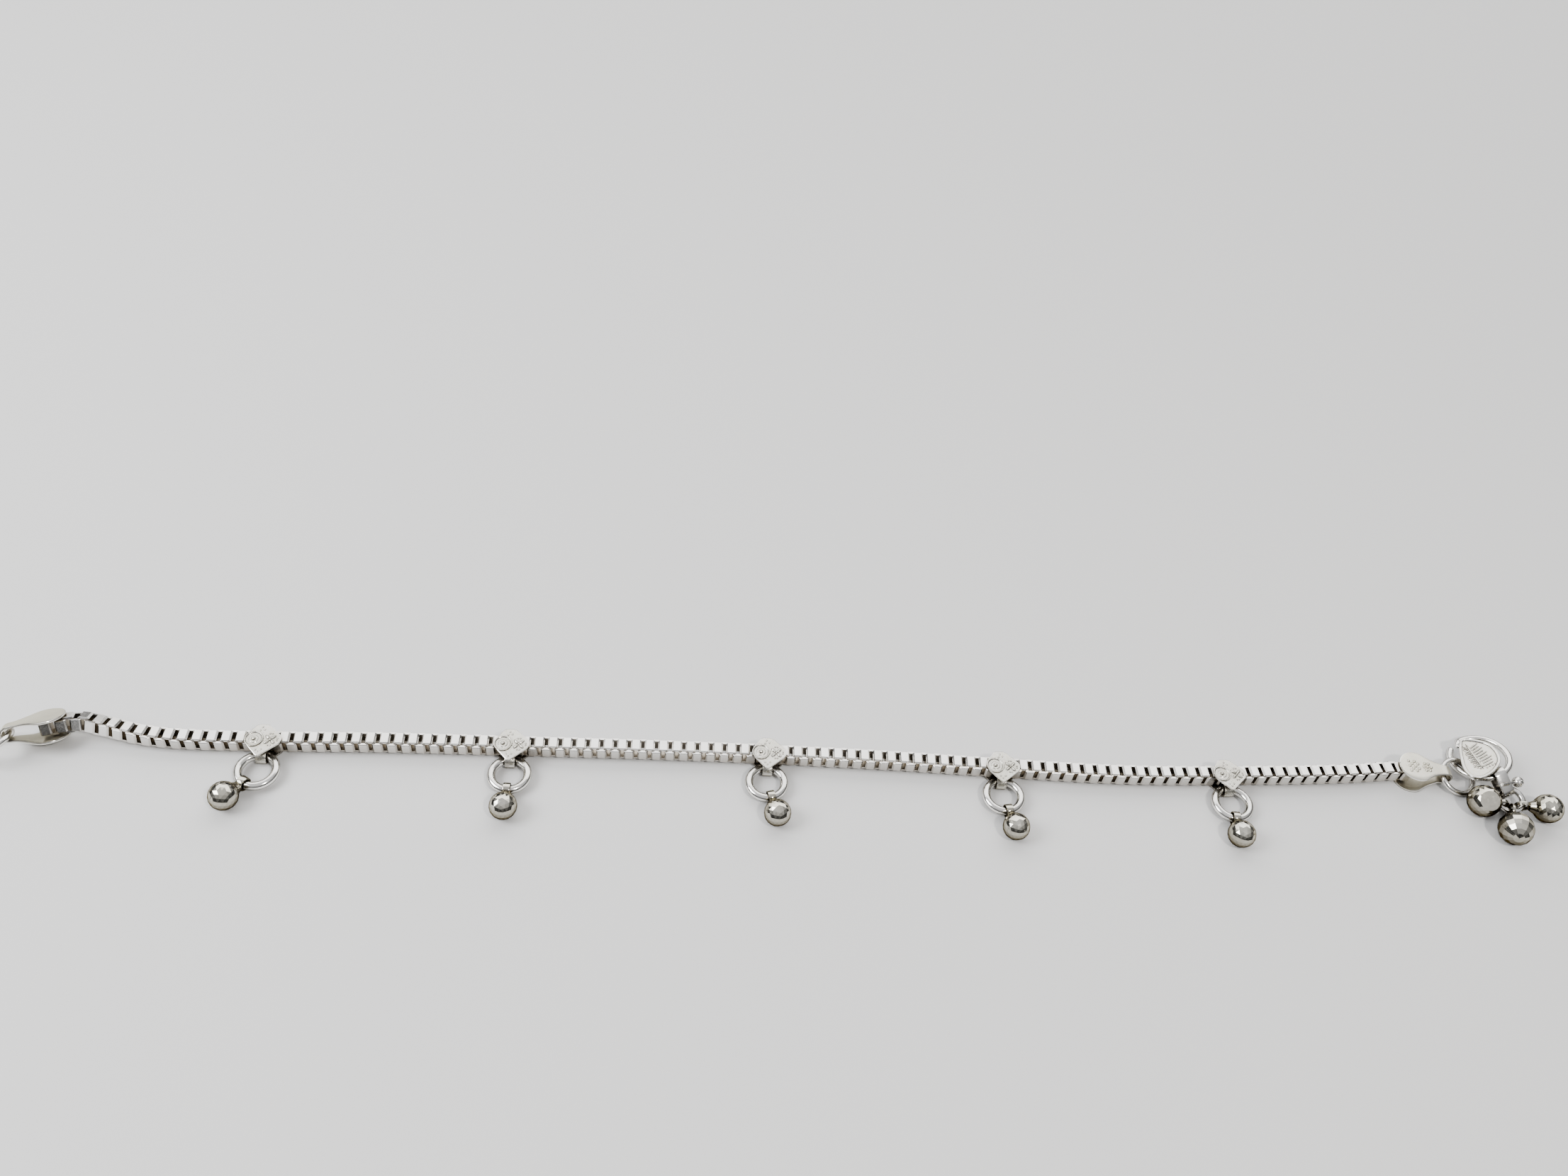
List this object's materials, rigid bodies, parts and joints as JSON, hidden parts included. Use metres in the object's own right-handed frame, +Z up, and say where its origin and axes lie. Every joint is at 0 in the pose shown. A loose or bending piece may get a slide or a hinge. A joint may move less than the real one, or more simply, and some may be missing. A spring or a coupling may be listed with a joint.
{
  "type": "anklet",
  "caption": "Open silver anklet: a box chain with folded plates, drop rings and round bells, a leaf hook with a cluster of bells at one end and a plain ring at the other.",
  "frame": {"origin": "on the table under the middle of the anklet's box", "axes": "+X along the chain from the plain end ring to the leaf hook, +Z up from the table, and the bells lie on the -Y side"},
  "size_m": [0.2566, 0.0236, 0.0061],
  "materials": {
    "polished_silver": "bright polished silver",
    "satin_silver": "satin silver with a soft warm sheen",
    "cut_silver": "silver cut in small bright facets"
  },
  "bodies": {
    "root": {"chain_left": "polished_silver", "chain_right": "polished_silver", "plate_1": "satin_silver", "plate_2": "satin_silver", "plate_3": "satin_silver", "plate_4": "satin_silver", "plate_5": "satin_silver", "drop_ring_1": "polished_silver", "drop_ring_2": "polished_silver", "drop_ring_3": "polished_silver", "drop_ring_4": "polished_silver", "drop_ring_5": "polished_silver", "drop_bell_1": "cut_silver", "drop_bell_2": "cut_silver", "drop_bell_3": "cut_silver", "drop_bell_4": "cut_silver", "drop_bell_5": "cut_silver", "end_cap_left": "satin_silver", "end_cap_right": "satin_silver", "end_ring_left": "polished_silver", "end_ring_right": "polished_silver", "leaf_hook": "satin_silver", "cluster_ring": "polished_silver", "cluster_bail": "satin_silver", "cluster_bell_1": "cut_silver", "cluster_bell_2": "cut_silver", "cluster_bell_3": "cut_silver"}
  },
  "joints": []
}
